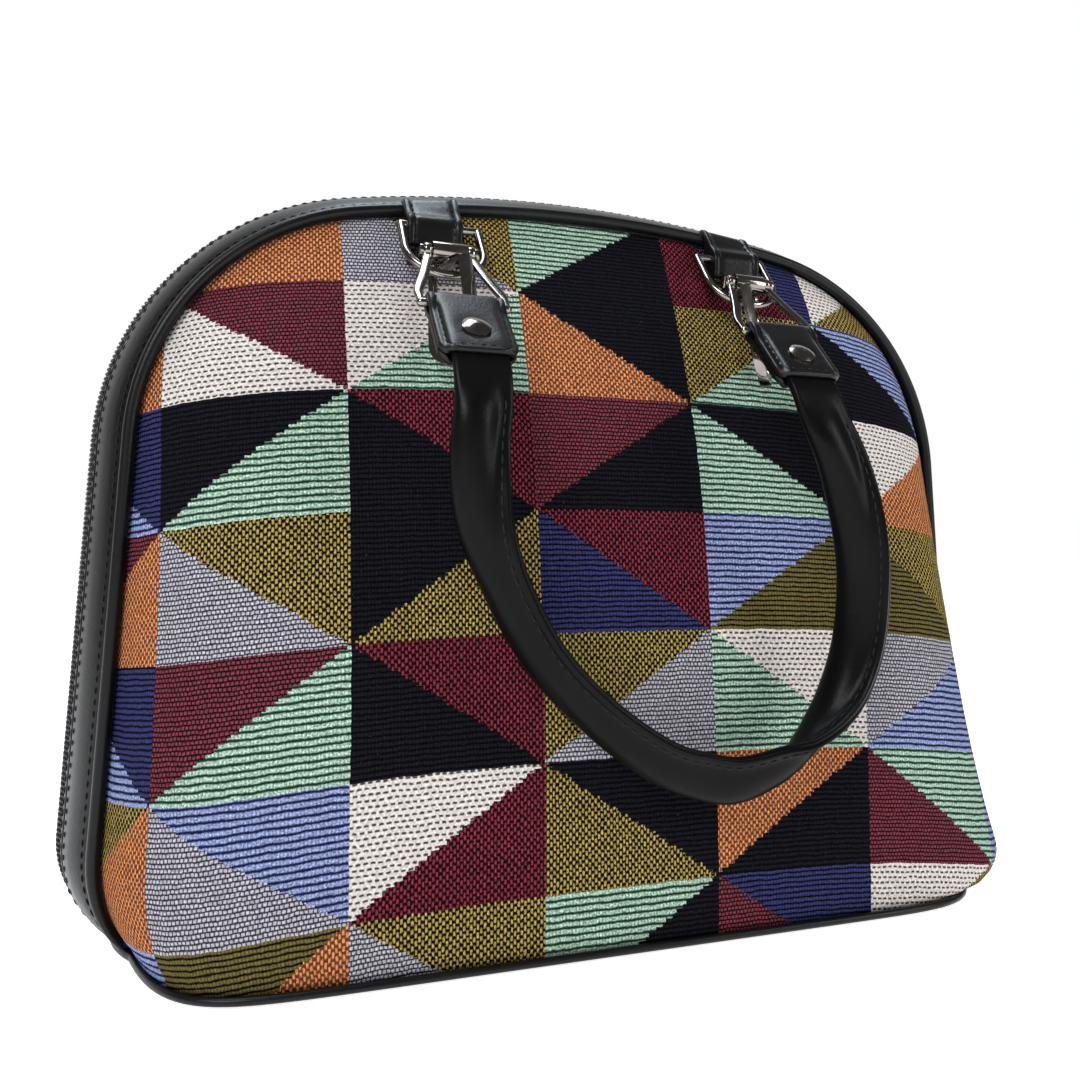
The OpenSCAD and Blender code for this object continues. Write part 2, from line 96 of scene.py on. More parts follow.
# Form of the body
def arch_x(z, inset):
    """Half width of the arch at height z, set in by inset."""
    z = np.asarray(z, float)
    crown = CROWN_C[1] + (CROWN_R - inset) * math.cos(CROWN_A)
    side = SHOULDER_C[1] + (SHOULDER_R - inset) * SIDE_N[1]
    side_x = SHOULDER_C[0] + (SHOULDER_R - inset) * SIDE_N[0]
    top = np.sqrt(np.maximum((CROWN_R - inset) ** 2 - (z - CROWN_C[1]) ** 2, 0))
    mid = SHOULDER_C[0] + np.sqrt(np.maximum((SHOULDER_R - inset) ** 2 - (z - SHOULDER_C[1]) ** 2, 0))
    low = side_x + (side - z) * math.tan(LEAN)
    return np.where(z > crown, top, np.where(z > side, mid, low))


def depth_at(s, z, boxiness=BOXINESS):
    """Depth of the panel surface at a share s of its half width."""
    full = 1 - np.clip(z / PANEL_TOP, 0, 1) ** FULLNESS
    return EDGE_Y + (BASE_D / 2 - EDGE_Y) * full * (1 - np.abs(s) ** boxiness)


def stuffed_row(s, z, back):
    """Places across the filled panel at height z, with the front's lower right corner pushed out."""
    half = float(arch_x(z, EDGE_IN))
    square = BOXINESS + (LOW_BOXINESS - BOXINESS) * max(0.0, 1 - z / SQUARE_BELOW)
    round_in = math.sqrt(1 - (1 - min(1.0, (z - BASE_T) / BULGE_ROUND)) ** 2)
    bulge = 0.0 if back else BULGE * math.exp(-z / BULGE_FADE) * round_in
    push = smooth_step((s - BULGE_FROM) / BULGE_RISE) * smooth_step((1 - s) / BULGE_END)
    return s * half + bulge * push, depth_at(s, z, square)


def panel_depth(x, z):
    """Depth of the panel surface at x and height z."""
    return float(depth_at(min(1.0, abs(x) / float(arch_x(z, EDGE_IN))), z))


def tucked(points):
    """Points of the soft body with its lower corners drawn in to a round."""
    p = np.array(points, float)
    foot = np.where(p[:, 0] < 0, LEFT_FOOT_R, RIGHT_FOOT_R)
    z = np.clip(p[:, 2], FOOT_LOW, foot)
    shift = foot - np.sqrt(foot**2 - (foot - z) ** 2)
    half = np.maximum(arch_x(np.maximum(p[:, 2], 0), 0), 1.0)
    share = np.clip(np.abs(p[:, 0]) / half, 0, 1) ** FOOT_POWER
    p[:, 0] -= np.sign(p[:, 0]) * shift * share
    return p


# Mesh helpers
def place_object(name, mesh, body, material):
    """A smooth object with one material, riding on a body."""
    obj = bpy.data.objects.new(name, mesh)
    bpy.context.scene.collection.objects.link(obj)
    mesh.materials.clear()
    mesh.materials.append(material)
    mesh.polygons.foreach_set("use_smooth", [True] * len(mesh.polygons))
    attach(obj, body)
    return obj


def add_object(name, shape, body, material, flip=False):
    """An object from points in millimetres and faces; those of the bag are tucked in at its feet."""
    verts, faces = shape
    mesh = bpy.data.meshes.new(name)
    if body == "bag":
        verts = tucked(verts)
    if flip:
        faces = [tuple(reversed(f)) for f in faces]
    places = [tuple(float(c) * MM for c in v) for v in verts]
    mesh.from_pydata(places, [], [tuple(int(i) for i in f) for f in faces])
    mesh.update()
    return place_object(name, mesh, body, material)


def add_closed(name, shape, body, material, node):
    """A closed object with its faces turned outwards, which replaces a CAD node."""
    obj = add_object(name, shape, body, material)
    bm = bmesh.new()
    bm.from_mesh(obj.data)
    bmesh.ops.recalc_face_normals(bm, faces=bm.faces)
    bm.to_mesh(obj.data)
    bm.free()
    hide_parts(node)
    return obj


def skin(rings, loop=False):
    """Vertices and faces over closed rings of points, capped unless the rings form a loop."""
    m, n = len(rings), len(rings[0])
    verts = [p for r in rings for p in r]
    faces = []
    for j in range(m if loop else m - 1):
        k = (j + 1) % m
        for i in range(n):
            i2 = (i + 1) % n
            faces.append((j * n + i, j * n + i2, k * n + i2, k * n + i))
    if not loop:
        faces.append(tuple(range(n - 1, -1, -1)))
        faces.append(tuple((m - 1) * n + i for i in range(n)))
    return verts, faces


def join_parts(parts):
    """One list of vertices and faces from several."""
    verts, faces = [], []
    for v, f in parts:
        base = len(verts)
        verts.extend(v)
        faces.extend(tuple(i + base for i in q) for q in f)
    return verts, faces


def curve_at(a, b, c, d, u):
    """Point at a share u between b and c, on a smooth curve through four points."""
    bend = 2 * a - 5 * b + 4 * c - d
    twist = 3 * b - a - 3 * c + d
    return 0.5 * (2 * b + (c - a) * u + bend * u * u + twist * u**3)


def smooth_line(points, count):
    """Points on a smooth curve through the given ones."""
    p = np.asarray(points, float)
    p = np.vstack([2 * p[0] - p[1], p, 2 * p[-1] - p[-2]])
    out = []
    spans = len(p) - 3
    for t in np.linspace(0, spans, count):
        i = min(int(t), spans - 1)
        out.append(curve_at(p[i], p[i + 1], p[i + 2], p[i + 3], t - i))
    return np.array(out)


def stitches(line, normals, length=2.7, gap=1.0, radius=0.3, phase=0.0):
    """A row of sewn stitches along a line on a surface."""
    cuts, sides, ahead, lift = 5, 6, 0.2, 0.12
    end_share, rise, sink = 0.55, 1.2, 0.9
    p = np.asarray(line, float)
    nrm = np.asarray(normals, float)
    s = np.concatenate([[0], np.cumsum(np.linalg.norm(np.diff(p, axis=0), axis=1))])
    parts = []
    t = phase
    while t + length < s[-1]:
        rings = []
        for k in range(cuts + 1):
            q = t + length * k / cuts
            c = np.array([np.interp(q, s, p[:, a]) for a in range(3)])
            d = unit(np.array([np.interp(q + ahead, s, p[:, a]) for a in range(3)]) - c)
            up = np.array([np.interp(q, s, nrm[:, a]) for a in range(3)])
            up = unit(up - d * (up @ d))
            side = np.cross(d, up)
            arch = math.sin(math.pi * k / cuts)
            r = radius * (end_share + (1 - end_share) * arch)
            c = c + up * (lift + radius * (rise * arch - sink))
            rings.append([c + r * (math.cos(a) * side + math.sin(a) * up) for a in circle_angles(sides)])
        parts.append(skin(rings))
        t += length + gap
    return join_parts(parts)


def rounded_copy(node, name, width):
    """A metal copy of a CAD node's mesh with its edges rounded, which replaces the node."""
    merge, flat, sharp = 2e-6, math.radians(1.0), math.radians(32)
    bm = bmesh.new()
    bm.from_mesh(NODES[node].data)
    bmesh.ops.remove_doubles(bm, verts=bm.verts, dist=merge)
    bmesh.ops.dissolve_limit(bm, angle_limit=flat, verts=bm.verts, edges=bm.edges)
    mesh = bpy.data.meshes.new(name)
    bm.to_mesh(mesh)
    bm.free()
    obj = place_object(name, mesh, node, METAL)
    bevel = obj.modifiers.new("edges", "BEVEL")
    bevel.width = width * MM
    bevel.segments = 3
    bevel.limit_method = "ANGLE"
    bevel.angle_limit = sharp
    bevel.harden_normals = True
    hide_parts(node)


def coat(node, material):
    """Gives a CAD node that stays visible its material."""
    NODES[node].data.materials.clear()
    NODES[node].data.materials.append(material)


# Materials
class Tree:
    """Short ways to make shader nodes."""

    def __init__(self, name):
        self.material = bpy.data.materials.new(name)
        self.material.use_nodes = True
        self.nodes = self.material.node_tree.nodes
        self.links = self.material.node_tree.links
        self.bsdf = self.nodes["Principled BSDF"]

    def put(self, socket, value):
        if isinstance(value, bpy.types.NodeSocket):
            self.links.new(value, socket)
        elif value is not None:
            socket.default_value = value

    def math(self, op, a, b=None, c=None):
        n = self.nodes.new("ShaderNodeMath")
        n.operation = op
        for socket, value in zip(n.inputs, (a, b, c)):
            self.put(socket, value)
        return n.outputs[0]

    def times(self, a, b):
        return self.math("MULTIPLY", a, b)

    def plus(self, a, b):
        return self.math("ADD", a, b)

    def minus(self, a, b):
        return self.math("SUBTRACT", a, b)

    def scaled(self, a, factor, offset):
        return self.math("MULTIPLY_ADD", a, factor, offset)

    def step(self, value, low, high, out_low=0.0, out_high=1.0):
        n = self.nodes.new("ShaderNodeMapRange")
        n.interpolation_type = "SMOOTHSTEP"
        for socket, v in zip(n.inputs, (value, low, high, out_low, out_high)):
            self.put(socket, v)
        return n.outputs[0]

    def ramp(self, value, stops, constant=False):
        n = self.nodes.new("ShaderNodeValToRGB")
        r = n.color_ramp
        r.interpolation = "CONSTANT" if constant else "LINEAR"
        while len(r.elements) < len(stops):
            r.elements.new(0.5)
        for e, (pos, colour) in zip(r.elements, stops):
            e.position = pos
            e.color = (*colour, 1.0)
        self.put(n.inputs[0], value)
        return n.outputs[0]

    def tones(self, value, dark, light, low=0.3, high=0.7):
        return self.ramp(value, [(low, dark), (high, light)])

    def mix(self, factor, a, b):
        n = self.nodes.new("ShaderNodeMix")
        n.data_type = "RGBA"
        self.put(n.inputs[0], factor)
        self.put(n.inputs[6], a)
        self.put(n.inputs[7], b)
        return n.outputs[2]

    def noise(self, vector, scale, detail, roughness=0.5):
        n = self.nodes.new("ShaderNodeTexNoise")
        self.put(n.inputs["Vector"], vector)
        n.inputs["Scale"].default_value = scale
        n.inputs["Detail"].default_value = detail
        n.inputs["Roughness"].default_value = roughness
        return n.outputs["Fac"]

    def cells(self, vector, scale):
        n = self.nodes.new("ShaderNodeTexVoronoi")
        self.put(n.inputs["Vector"], vector)
        n.inputs["Scale"].default_value = scale
        return n.outputs["Distance"]

    def place(self):
        return self.nodes.new("ShaderNodeTexCoord").outputs["Object"]

    def bump(self, height, strength, distance, normal=None):
        n = self.nodes.new("ShaderNodeBump")
        n.inputs["Strength"].default_value = strength
        n.inputs["Distance"].default_value = distance
        self.put(n.inputs["Height"], height)
        self.put(n.inputs["Normal"], normal)
        return n.outputs[0]

    def set(self, **values):
        for key, value in values.items():
            self.put(self.bsdf.inputs[key.replace("_", " ")], value)
        return self.material


def shade(base, factor):
    return [c * factor for c in base]


def leather_material(name, base, rough, grain, shine):
    """Black leather with pores, fine creases and an uneven tone."""
    t = Tree(name)
    p = t.place()
    broad = t.noise(p, scale=38, detail=3)
    fine = t.noise(p, scale=950, detail=2)
    pores = t.cells(p, scale=1250)
    creases = t.noise(p, scale=120, detail=4, roughness=0.6)
    tone = t.tones(broad, shade(base, 0.8), shade(base, 1.3))
    height = t.plus(t.times(pores, 0.8), t.times(fine, 0.5))
    first = t.bump(height, strength=0.16 * grain, distance=0.00025)
    second = t.bump(creases, strength=0.10, distance=0.0012, normal=first)
    roughness = t.plus(t.times(fine, 0.12), t.scaled(broad, 0.12, rough - 0.12))
    return t.set(Base_Color=tone, Roughness=roughness, Normal=second, Specular_IOR_Level=shine)


def metal_material(name):
    """Dark plated metal with a slight haze."""
    t = Tree(name)
    p = t.place()
    haze = t.noise(p, scale=210, detail=4)
    marks = t.bump(t.noise(p, scale=1500, detail=2), strength=0.02, distance=0.00002)
    tone = t.tones(haze, dark=(0.20, 0.180, 0.165), light=(0.26, 0.238, 0.222))
    return t.set(Base_Color=tone, Metallic=1.0, Roughness=t.scaled(haze, 0.10, 0.11), Normal=marks)


def thread_material(name, base):
    """Twisted sewing thread."""
    t = Tree(name)
    twist = t.noise(t.place(), scale=2600, detail=2)
    tone = t.tones(twist, shade(base, 0.7), shade(base, 1.4))
    bump = t.bump(twist, strength=0.4, distance=0.0002)
    return t.set(Base_Color=tone, Roughness=0.65, Normal=bump, Specular_IOR_Level=0.12)


def tape_material():
    """Fine black cloth of the zip tapes."""
    t = Tree("zip_tape_cloth")
    weave = t.cells(t.place(), scale=1500)
    tone = t.tones(weave, (0.012, 0.012, 0.013), (0.035, 0.035, 0.037), low=0.1, high=0.6)
    return t.set(Base_Color=tone, Roughness=0.85, Normal=t.bump(weave, strength=0.5, distance=0.0003))


def nylon_material():
    """Half gloss black nylon of the zip coil."""
    t = Tree("zip_nylon")
    tint = t.noise(t.place(), scale=420, detail=2)
    tone = t.tones(tint, dark=(0.014, 0.014, 0.015), light=(0.030, 0.030, 0.032))
    return t.set(Base_Color=tone, Roughness=t.scaled(tint, 0.15, 0.33))


def board_material():
    """Grey-brown pulp board."""
    t = Tree("base_board_pulp")
    fibre = t.noise(t.place(), scale=300, detail=5)
    tone = t.tones(fibre, dark=(0.30, 0.27, 0.23), light=(0.42, 0.39, 0.34))
    return t.set(Base_Color=tone, Roughness=0.9, Normal=t.bump(fibre, strength=0.2, distance=0.0005))


# Weave kinds: ribs, ticks, a grid, dashes and fine ribs
RIBS, TICKS, GRID, DASHES, FINE = range(5)
# Weave kind, colour of the raised thread and colour of the ground, as 8-bit screen values
YARN_LOOK = {
    "mint": (RIBS, (192, 224, 202), (22, 44, 32)),
    "lavender": (RIBS, (166, 178, 222), (18, 24, 58)),
    "white": (DASHES, (200, 192, 187), (58, 52, 48)),
    "orange": (TICKS, (228, 152, 98), (92, 48, 32)),
    "olive": (TICKS, (182, 159, 88), (13, 10, 7)),
    "red": (TICKS, (136, 52, 66), (20, 6, 9)),
    "burgundy": (GRID, (124, 58, 69), (12, 4, 6)),
    "gray": (GRID, (190, 187, 196), (26, 24, 34)),
    "moss": (FINE, (104, 94, 54), (4, 3, 2)),
    "black": (FINE, (22, 22, 28), (4, 4, 6)),
    "navy": (FINE, (52, 54, 98), (5, 5, 12)),
}
YARNS = list(YARN_LOOK)
YARN_SLOTS, KIND_SLOTS = 16, 8
# Squares of the patchwork and the threads that its edges step along, in millimetres
PATCH_W, PATCH_H, FIRST_COL, FIRST_ROW = 62.4, 41.4, 155.1, 229.6
THREAD_W, THREAD_H = 1.25, 1.3
# Upper and lower yarn of each square, column by column from the left, row by row from the top
PATCHES = [
    "lavender/navy burgundy/orange navy/lavender burgundy/orange navy/lavender olive/orange lavender/navy",
    "olive/orange burgundy/white black/mint olive/gray burgundy/mint lavender/gray moss/orange",
    "olive/gray white/mint red/black black/olive red/black white/red olive/gray",
    "mint/black black/orange burgundy/black red/navy olive/gray black/olive mint/black",
    "navy/red olive/mint black/mint lavender/moss white/mint orange/black navy/burgundy",
    "white/olive lavender/black white/orange olive/moss gray/lavender mint/burgundy white/olive",
    "olive/orange mint/burgundy black/mint navy/gray burgundy/mint lavender/gray olive/orange",
]
PATCH_ROWS = len(PATCHES[0].split())


def linear(rgb):
    """Linear colour of 8-bit screen values."""
    return [((c / 255 + 0.055) / 1.055) ** 2.4 if c > 10 else c / 255 / 12.92 for c in rgb]


def woven_material():
    """Cloth of squares cut by a diagonal, each half in its own yarn and weave."""
    t = Tree("woven_patchwork")

    def whole(value, period):
        return t.math("FLOOR", t.math("DIVIDE", value, period))

    def middle(value, period):
        return t.times(t.plus(whole(value, period), 0.5), period)

    def share(value, period, shift=0.0):
        return t.math("FRACT", t.plus(t.math("DIVIDE", value, period), shift))

    def band(value, low, high, soft):
        up = t.step(value, low - soft, low + soft)
        down = t.step(value, high - soft, high + soft, 1.0, 0.0)
        return t.times(up, down)

    def alternate(value, period):
        return t.times(t.math("FLOORED_MODULO", whole(value, period), 2.0), 0.5)

    def number(value, last):
        return t.math("MINIMUM", t.math("MAXIMUM", t.plus(value, 1.0), 0.0), float(last))

    def chosen(values, key):
        total = None
        for k, value in enumerate(values):
            part = t.times(value, t.math("COMPARE", key, float(k), 0.3))
            total = part if total is None else t.plus(total, part)
        return total

    def column(words):
        names = [w for pair in words.split() for w in pair.split("/")]
        return [(i / len(names), [(YARNS.index(n) + 0.5) / YARN_SLOTS] * 3) for i, n in enumerate(names)]

    def by_yarn(values):
        return t.ramp(yarn, [(i / YARN_SLOTS, value) for i, value in enumerate(values)], True)

    uv = t.nodes.new("ShaderNodeUVMap")
    uv.uv_map = "weave"
    place = uv.outputs[0]
    split = t.nodes.new("ShaderNodeSeparateXYZ")
    t.links.new(place, split.inputs[0])
    # the threads wander a little
    sway = t.minus(t.noise(place, scale=0.16, detail=2), 0.5)
    sway2 = t.minus(t.noise(place, scale=0.9, detail=2), 0.5)
    u = t.scaled(sway2, 0.5, t.scaled(sway, 0.9, split.outputs[0]))
    v = t.scaled(sway2, 0.55, t.scaled(sway, 1.1, split.outputs[1]))
    # the pattern steps from thread to thread
    col = t.math("DIVIDE", t.plus(middle(u, THREAD_W), FIRST_COL), PATCH_W)
    row = t.math("DIVIDE", t.minus(FIRST_ROW, middle(v, THREAD_H)), PATCH_H)
    col_in, row_in = t.math("FLOOR", col), t.math("FLOOR", row)
    across, down = t.minus(col, col_in), t.minus(row, row_in)
    odd = t.math("FLOORED_MODULO", t.plus(t.plus(col_in, row_in), 1.0), 2.0)
    edge = t.plus(t.times(odd, across), t.times(t.minus(1.0, odd), t.minus(1.0, across)))
    lower = t.math("GREATER_THAN", down, edge)
    half_no = t.scaled(number(row_in, PATCH_ROWS - 1), 2.0, lower)
    place_in_col = t.math("DIVIDE", t.plus(half_no, 0.5), 2.0 * PATCH_ROWS)
    columns = [t.ramp(place_in_col, column(words), True) for words in PATCHES]
    yarn = chosen(columns, number(col_in, len(PATCHES) - 1))
    light = by_yarn([linear(YARN_LOOK[n][1]) for n in YARNS])
    dark = by_yarn([linear(YARN_LOOK[n][2]) for n in YARNS])
    kind = by_yarn([[(YARN_LOOK[n][0] + 0.5) / KIND_SLOTS] * 3 for n in YARNS])
    kind = t.math("FLOOR", t.times(kind, float(KIND_SLOTS)))
    # how far the raised thread covers the ground in each weave
    thread = band(share(u, 1.15), 0.16, 0.84, 0.16)
    broken = t.step(t.noise(place, scale=1.5, detail=2, roughness=0.7), 0.36, 0.60, 0.35, 1.0)
    ribs = t.times(band(share(v, 2.25), 0.20, 0.78, 0.13), t.scaled(thread, 0.35, 0.65))
    ribs = t.times(ribs, broken)
    ragged = t.scaled(t.noise(place, scale=0.8, detail=2), 0.5, alternate(u, 1.1))
    ticks = t.times(band(share(u, 1.1), 0.16, 0.84, 0.13), band(share(v, 2.5, ragged), 0.16, 0.73, 0.10))
    ticks = t.times(ticks, t.scaled(broken, 0.6, 0.4))
    bricks = band(share(u, 1.4, alternate(v, 1.45)), 0.14, 0.88, 0.14)
    grid = t.times(bricks, band(share(v, 1.45), 0.18, 0.84, 0.15))
    grid = t.times(grid, t.scaled(broken, 0.5, 0.5))
    gaps = band(share(u, 2.3, alternate(v, 1.85)), 0.14, 0.78, 0.12)
    dashes = t.minus(1.0, t.times(gaps, band(share(v, 1.85), 0.08, 0.46, 0.12)))
    fine = t.times(band(share(v, 1.75), 0.16, 0.78, 0.15), t.scaled(thread, 0.45, 0.55))
    cover = chosen((ribs, ticks, grid, dashes, fine), kind)
    # uneven dye, worn thread tips and a little lint
    slub = t.noise(place, scale=1.1, detail=3, roughness=0.6)
    dyed = t.nodes.new("ShaderNodeVectorMath")
    dyed.operation = "SCALE"
    t.links.new(t.mix(cover, dark, light), dyed.inputs[0])
    t.links.new(t.step(slub, 0.25, 0.75, 0.66, 1.30), dyed.inputs["Scale"])
    fleck = t.step(t.noise(place, scale=2.3, detail=1), 0.76, 0.82, 0.0, 0.35)
    colour = t.mix(fleck, dyed.outputs[0], (0.42, 0.44, 0.46, 1.0))
    height = t.plus(cover, t.scaled(thread, 0.3, t.times(slub, 0.35)))
    bump = t.bump(height, strength=0.7, distance=0.0007)
    return t.set(Base_Color=colour, Roughness=0.88, Normal=bump, Specular_IOR_Level=0.03)


CLOTH = woven_material()
# base colour, then roughness, strength of the grain and shine
LEATHER = leather_material("black_leather", (0.0036, 0.0035, 0.0038), 0.34, 1.0, 0.2)
STRAP_LEATHER = leather_material("strap_leather", (0.0026, 0.0025, 0.0028), 0.33, 0.8, 0.08)
FLAP_LEATHER = leather_material("flap_leather", (0.0032, 0.0032, 0.0036), 0.34, 1.0, 0.24)
PIPING_LEATHER = leather_material("piping_leather", (0.0032, 0.0032, 0.0034), 0.36, 0.7, 0.2)
METAL = metal_material("dark_nickel")
THREAD = thread_material("black_thread", (0.012, 0.012, 0.013))
TAPE = tape_material()
NYLON = nylon_material()
BOARD = board_material()


# Line of the arch
def arch_line(step):
    """Places and outward normals round the arch, from the left foot to the right one."""

    def corner(centre, radius, t):
        place = centre + radius * np.array([math.sin(t), math.cos(t)])
        return place[0], place[1], math.sin(t), math.cos(t)

    half = []
    for t in np.linspace(0, CROWN_A, max(2, int(CROWN_R * CROWN_A / step)), endpoint=False):
        half.append(corner(CROWN_C, CROWN_R, t))
    end = math.pi / 2 - LEAN
    for t in np.linspace(CROWN_A, end, max(2, int(SHOULDER_R * (end - CROWN_A) / step)), endpoint=False):
        half.append(corner(SHOULDER_C, SHOULDER_R, t))
    foot = SHOULDER_C + SHOULDER_R * SIDE_N
    length = (foot[1] - SEAM_Z) / math.cos(LEAN)
    for d in np.linspace(0, length, max(2, int(length / step)) + 1):
        half.append((foot[0] + d * math.sin(LEAN), foot[1] - d * math.cos(LEAN), SIDE_N[0], SIDE_N[1]))
    half = np.array(half)
    left = half[:0:-1] * np.array([-1, 1, -1, 1])
    return np.vstack([left, half])


ARCH = arch_line(3.0)
ARCH_S = run_along(ARCH[:, 0], ARCH[:, 1])


def arch_points(d, y, back):
    """The arch line moved outward by d at depth y, with its ends cut level above the base."""
    depth = np.full(len(ARCH), y if back else -y)
    p = np.stack([ARCH[:, 0] + ARCH[:, 2] * d, depth, ARCH[:, 1] + ARCH[:, 3] * d], 1)
    for k, sign in ((0, 1), (-1, -1)):
        t = (SEAM_Z - p[k, 2]) / math.cos(LEAN)
        p[k] += t * np.array([sign * math.sin(LEAN), 0, math.cos(LEAN)])
    return p


def arch_sweep(profile, back):
    """Rings of a profile of (outward, depth) points round the arch."""
    lines = [arch_points(d, y, back) for d, y in profile]
    return [[line[j] for line in lines] for j in range(len(ARCH))]


# Cloth panels
PANEL_COLS, PANEL_ROWS, PANEL_WALL = 170, 130, 2.2
DROOP, DROOP_REACH = 14.4, 175
GATHER, GATHER_FADE, GATHER_START, GATHER_WAVE = 0.30, 7.0, 2.0, 0.55
SAG, SAG_REACH = 0.55, 40.0
BACK_SHIFT = 4.0


def make_panel(back):
    """The pillow-shaped cloth panel with its weave map."""
    top = PANEL_TOP - 0.6
    heights = np.linspace(0, PANEL_TOP, 600)
    run = run_along(heights, depth_at(np.zeros_like(heights), heights))
    s = np.sin(np.pi * np.arange(PANEL_COLS + 1) / PANEL_COLS - np.pi / 2)
    fine_s = np.linspace(-1, 1, 801)
    verts, uvs = [], []
    for j in range(PANEL_ROWS + 1):
        z = BASE_T + (top - BASE_T) * math.sin(math.pi / 2 * j / PANEL_ROWS)
        half = float(arch_x(z, EDGE_IN))
        x, y = stuffed_row(s, z, back)
        arc = run_along(*stuffed_row(fine_s, z, back))
        arc -= arc[len(arc) // 2]
        u = np.interp(s, fine_s, arc)
        v = np.interp(z + DROOP * (np.abs(x) / DROOP_REACH) ** 3, heights, run)
        # gathers at the seam and a soft unevenness of the stuffed cloth
        inside = np.minimum((1 - np.abs(s)) * half, np.maximum(top - z, 0) * 1.6)
        wave = np.sin((x * 0.9 + z * 1.1) * GATHER_WAVE) * smooth_step(inside / GATHER_START)
        gather = GATHER * np.exp(-inside / GATHER_FADE) * wave
        soft = SAG * np.sin(x * 0.031 + 1.3) * np.sin(z * 0.043 + 0.4) - SAG
        y = y + gather + soft * smooth_step(inside / SAG_REACH)
        for i in range(PANEL_COLS + 1):
            verts.append((x[i], y[i] if back else -y[i], z))
            uvs.append((-u[i] + BACK_SHIFT if back else u[i], v[i]))
    w = PANEL_COLS + 1
    faces = []
    for j in range(PANEL_ROWS):
        for i in range(PANEL_COLS):
            first = j * w + i
            faces.append((first, first + 1, first + w + 1, first + w))
    obj = add_object(side_name(back) + "_cloth", (verts, faces), "bag", CLOTH, flip=back)
    layer = obj.data.uv_layers.new(name="weave")
    index = np.empty(len(obj.data.loops), int)
    obj.data.loops.foreach_get("vertex_index", index)
    layer.data.foreach_set("uv", np.array(uvs, np.float32)[index].ravel())
    wall = obj.modifiers.new("wall", "SOLIDIFY")
    wall.thickness = PANEL_WALL * MM
    wall.offset = -1.0
    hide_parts(side_name(back) + "_panel")


# Profiles round the arch as (outward, depth)
BAND_OUTER = [(-1.7, 5.2), (-1.0, 5.3), (-0.75, 6.2), (-0.85, 9.0), (-1.15, 11.8), (-1.55, 12.7),
              (-2.35, 12.9), (-2.5, 13.3), (-2.0, 13.9), (-2.15, 15.0)]
BAND_MAIN = [(-2.15, 15.0), (-4.2, 20.0), (-6.6, 24.0), (-8.75, 26.6), (-10.0, 27.9), (-11.2, 29.2)]
BAND_UNDER = [(-17, 29.3), (-17, 28.1), (-11.8, 27.8), (-10.2, 25.2), (-6.4, 19.4), (-3.6, 13.0), (-3.2, 5.6)]
# Rows of stitches on the band: place, normal and start
BAND_SEAMS = [((-1.05, 11.2), (0.97, 0.24), 0.4), ((-2.55, 15.6), (0.93, 0.37), 1.7),
              ((-8.6, 26.4), (0.72, 0.69), 1.1)]
PIPING_AT, PIPING_Y, PIPING_R = -12.25, 31.7, 2.15
TAPE_PROFILE = [(-4.3, 0.4), (-3.5, 0.4), (-3.45, 3.0), (-3.5, 12.3), (-4.3, 12.3), (-4.35, 6.0)]
COIL_CORE = [(-3.4, -2.1), (-1.4, -2.2), (0.1, -1.75), (0.75, -0.6), (0.75, 0.6), (0.1, 1.75), (-1.4, 2.2),
             (-3.4, 2.1)]
COIL_TURN = [(-2.6, -2.35), (-1.2, -2.5), (0.25, -2.05), (1.0, -0.8), (1.0, 0.8), (0.25, 2.05), (-1.2, 2.5),
             (-2.6, 2.35)]
COIL_PITCH, COIL_END, COIL_SLANT, COIL_R, COIL_WIDE = 1.7, 2, 0.42, 0.5, 1.15


def make_band(back):
    """The two sewn strips round the arch, with a turned edge and its topstitching."""
    side = side_name(back)
    outer, main = smooth_line(BAND_OUTER, 26), smooth_line(BAND_MAIN, 22)
    profile = [tuple(p) for p in outer] + [tuple(p) for p in main[1:]] + BAND_UNDER
    shape = skin(arch_sweep(profile, back))
    add_closed(side + "_band_strips", shape, "bag", LEATHER, side + "_band")
    sign = 1.0 if back else -1.0
    parts = []
    for (d, y), (nd, ny), phase in BAND_SEAMS:
        nrm = np.stack([ARCH[:, 2] * nd, np.full(len(ARCH), sign * ny), ARCH[:, 3] * nd], 1)
        parts.append(stitches(arch_points(d, y, back), nrm, phase=phase))
    add_object(side + "_band_stitching", join_parts(parts), "bag", THREAD)


def make_piping(back):
    """The covered cord between panel and band."""
    side = side_name(back)
    profile = []
    for a in circle_angles(18):
        profile.append((PIPING_AT + PIPING_R * math.cos(a), PIPING_Y + PIPING_R * math.sin(a)))
    shape = skin(arch_sweep(profile, back))
    add_closed(side + "_piping_cord", shape, "bag", PIPING_LEATHER, side + "_piping")


def make_tape(back):
    """One half of the zip's cloth tape."""
    side = side_name(back)
    shape = skin(arch_sweep(TAPE_PROFILE, back))
    add_closed(side + "_tape_cloth", shape, "bag", TAPE, side + "_zip_tape")


def make_coil():
    """The closed coil: a core with slanted nylon turns over it."""
    parts = [skin(arch_sweep(COIL_CORE, True))]
    total = ARCH_S[-1]
    count = int((total - 2 * COIL_END) / COIL_PITCH)
    for k in range(count):
        start = COIL_END + (total - 2 * COIL_END) * k / (count - 1)
        rings = []
        for d, y in COIL_TURN:
            s = start + COIL_SLANT * y
            x, z, nx, nz = (np.interp(s, ARCH_S, ARCH[:, i]) for i in range(4))
            c = np.array([x + nx * d, y, z + nz * d])
            along = np.array([nz, 0, -nx]) * COIL_WIDE
            away = unit(np.array([nx * (d + 1.4), y * 1.2, nz * (d + 1.4)]))
            rings.append([c + COIL_R * (math.cos(a) * along + math.sin(a) * away) for a in circle_angles(6)])
        parts.append(skin(rings))
    add_closed("zip_turns", join_parts(parts), "bag", NYLON, "zip_coil")


# Base, with the part's outline and squarer corners
BASE_CORD_R, BASE_CORD_OUT, BASE_CORD_Z = 1.35, 1.25, 2.3
BASE_INNER, BASE_CENTRE = -20, 0.02
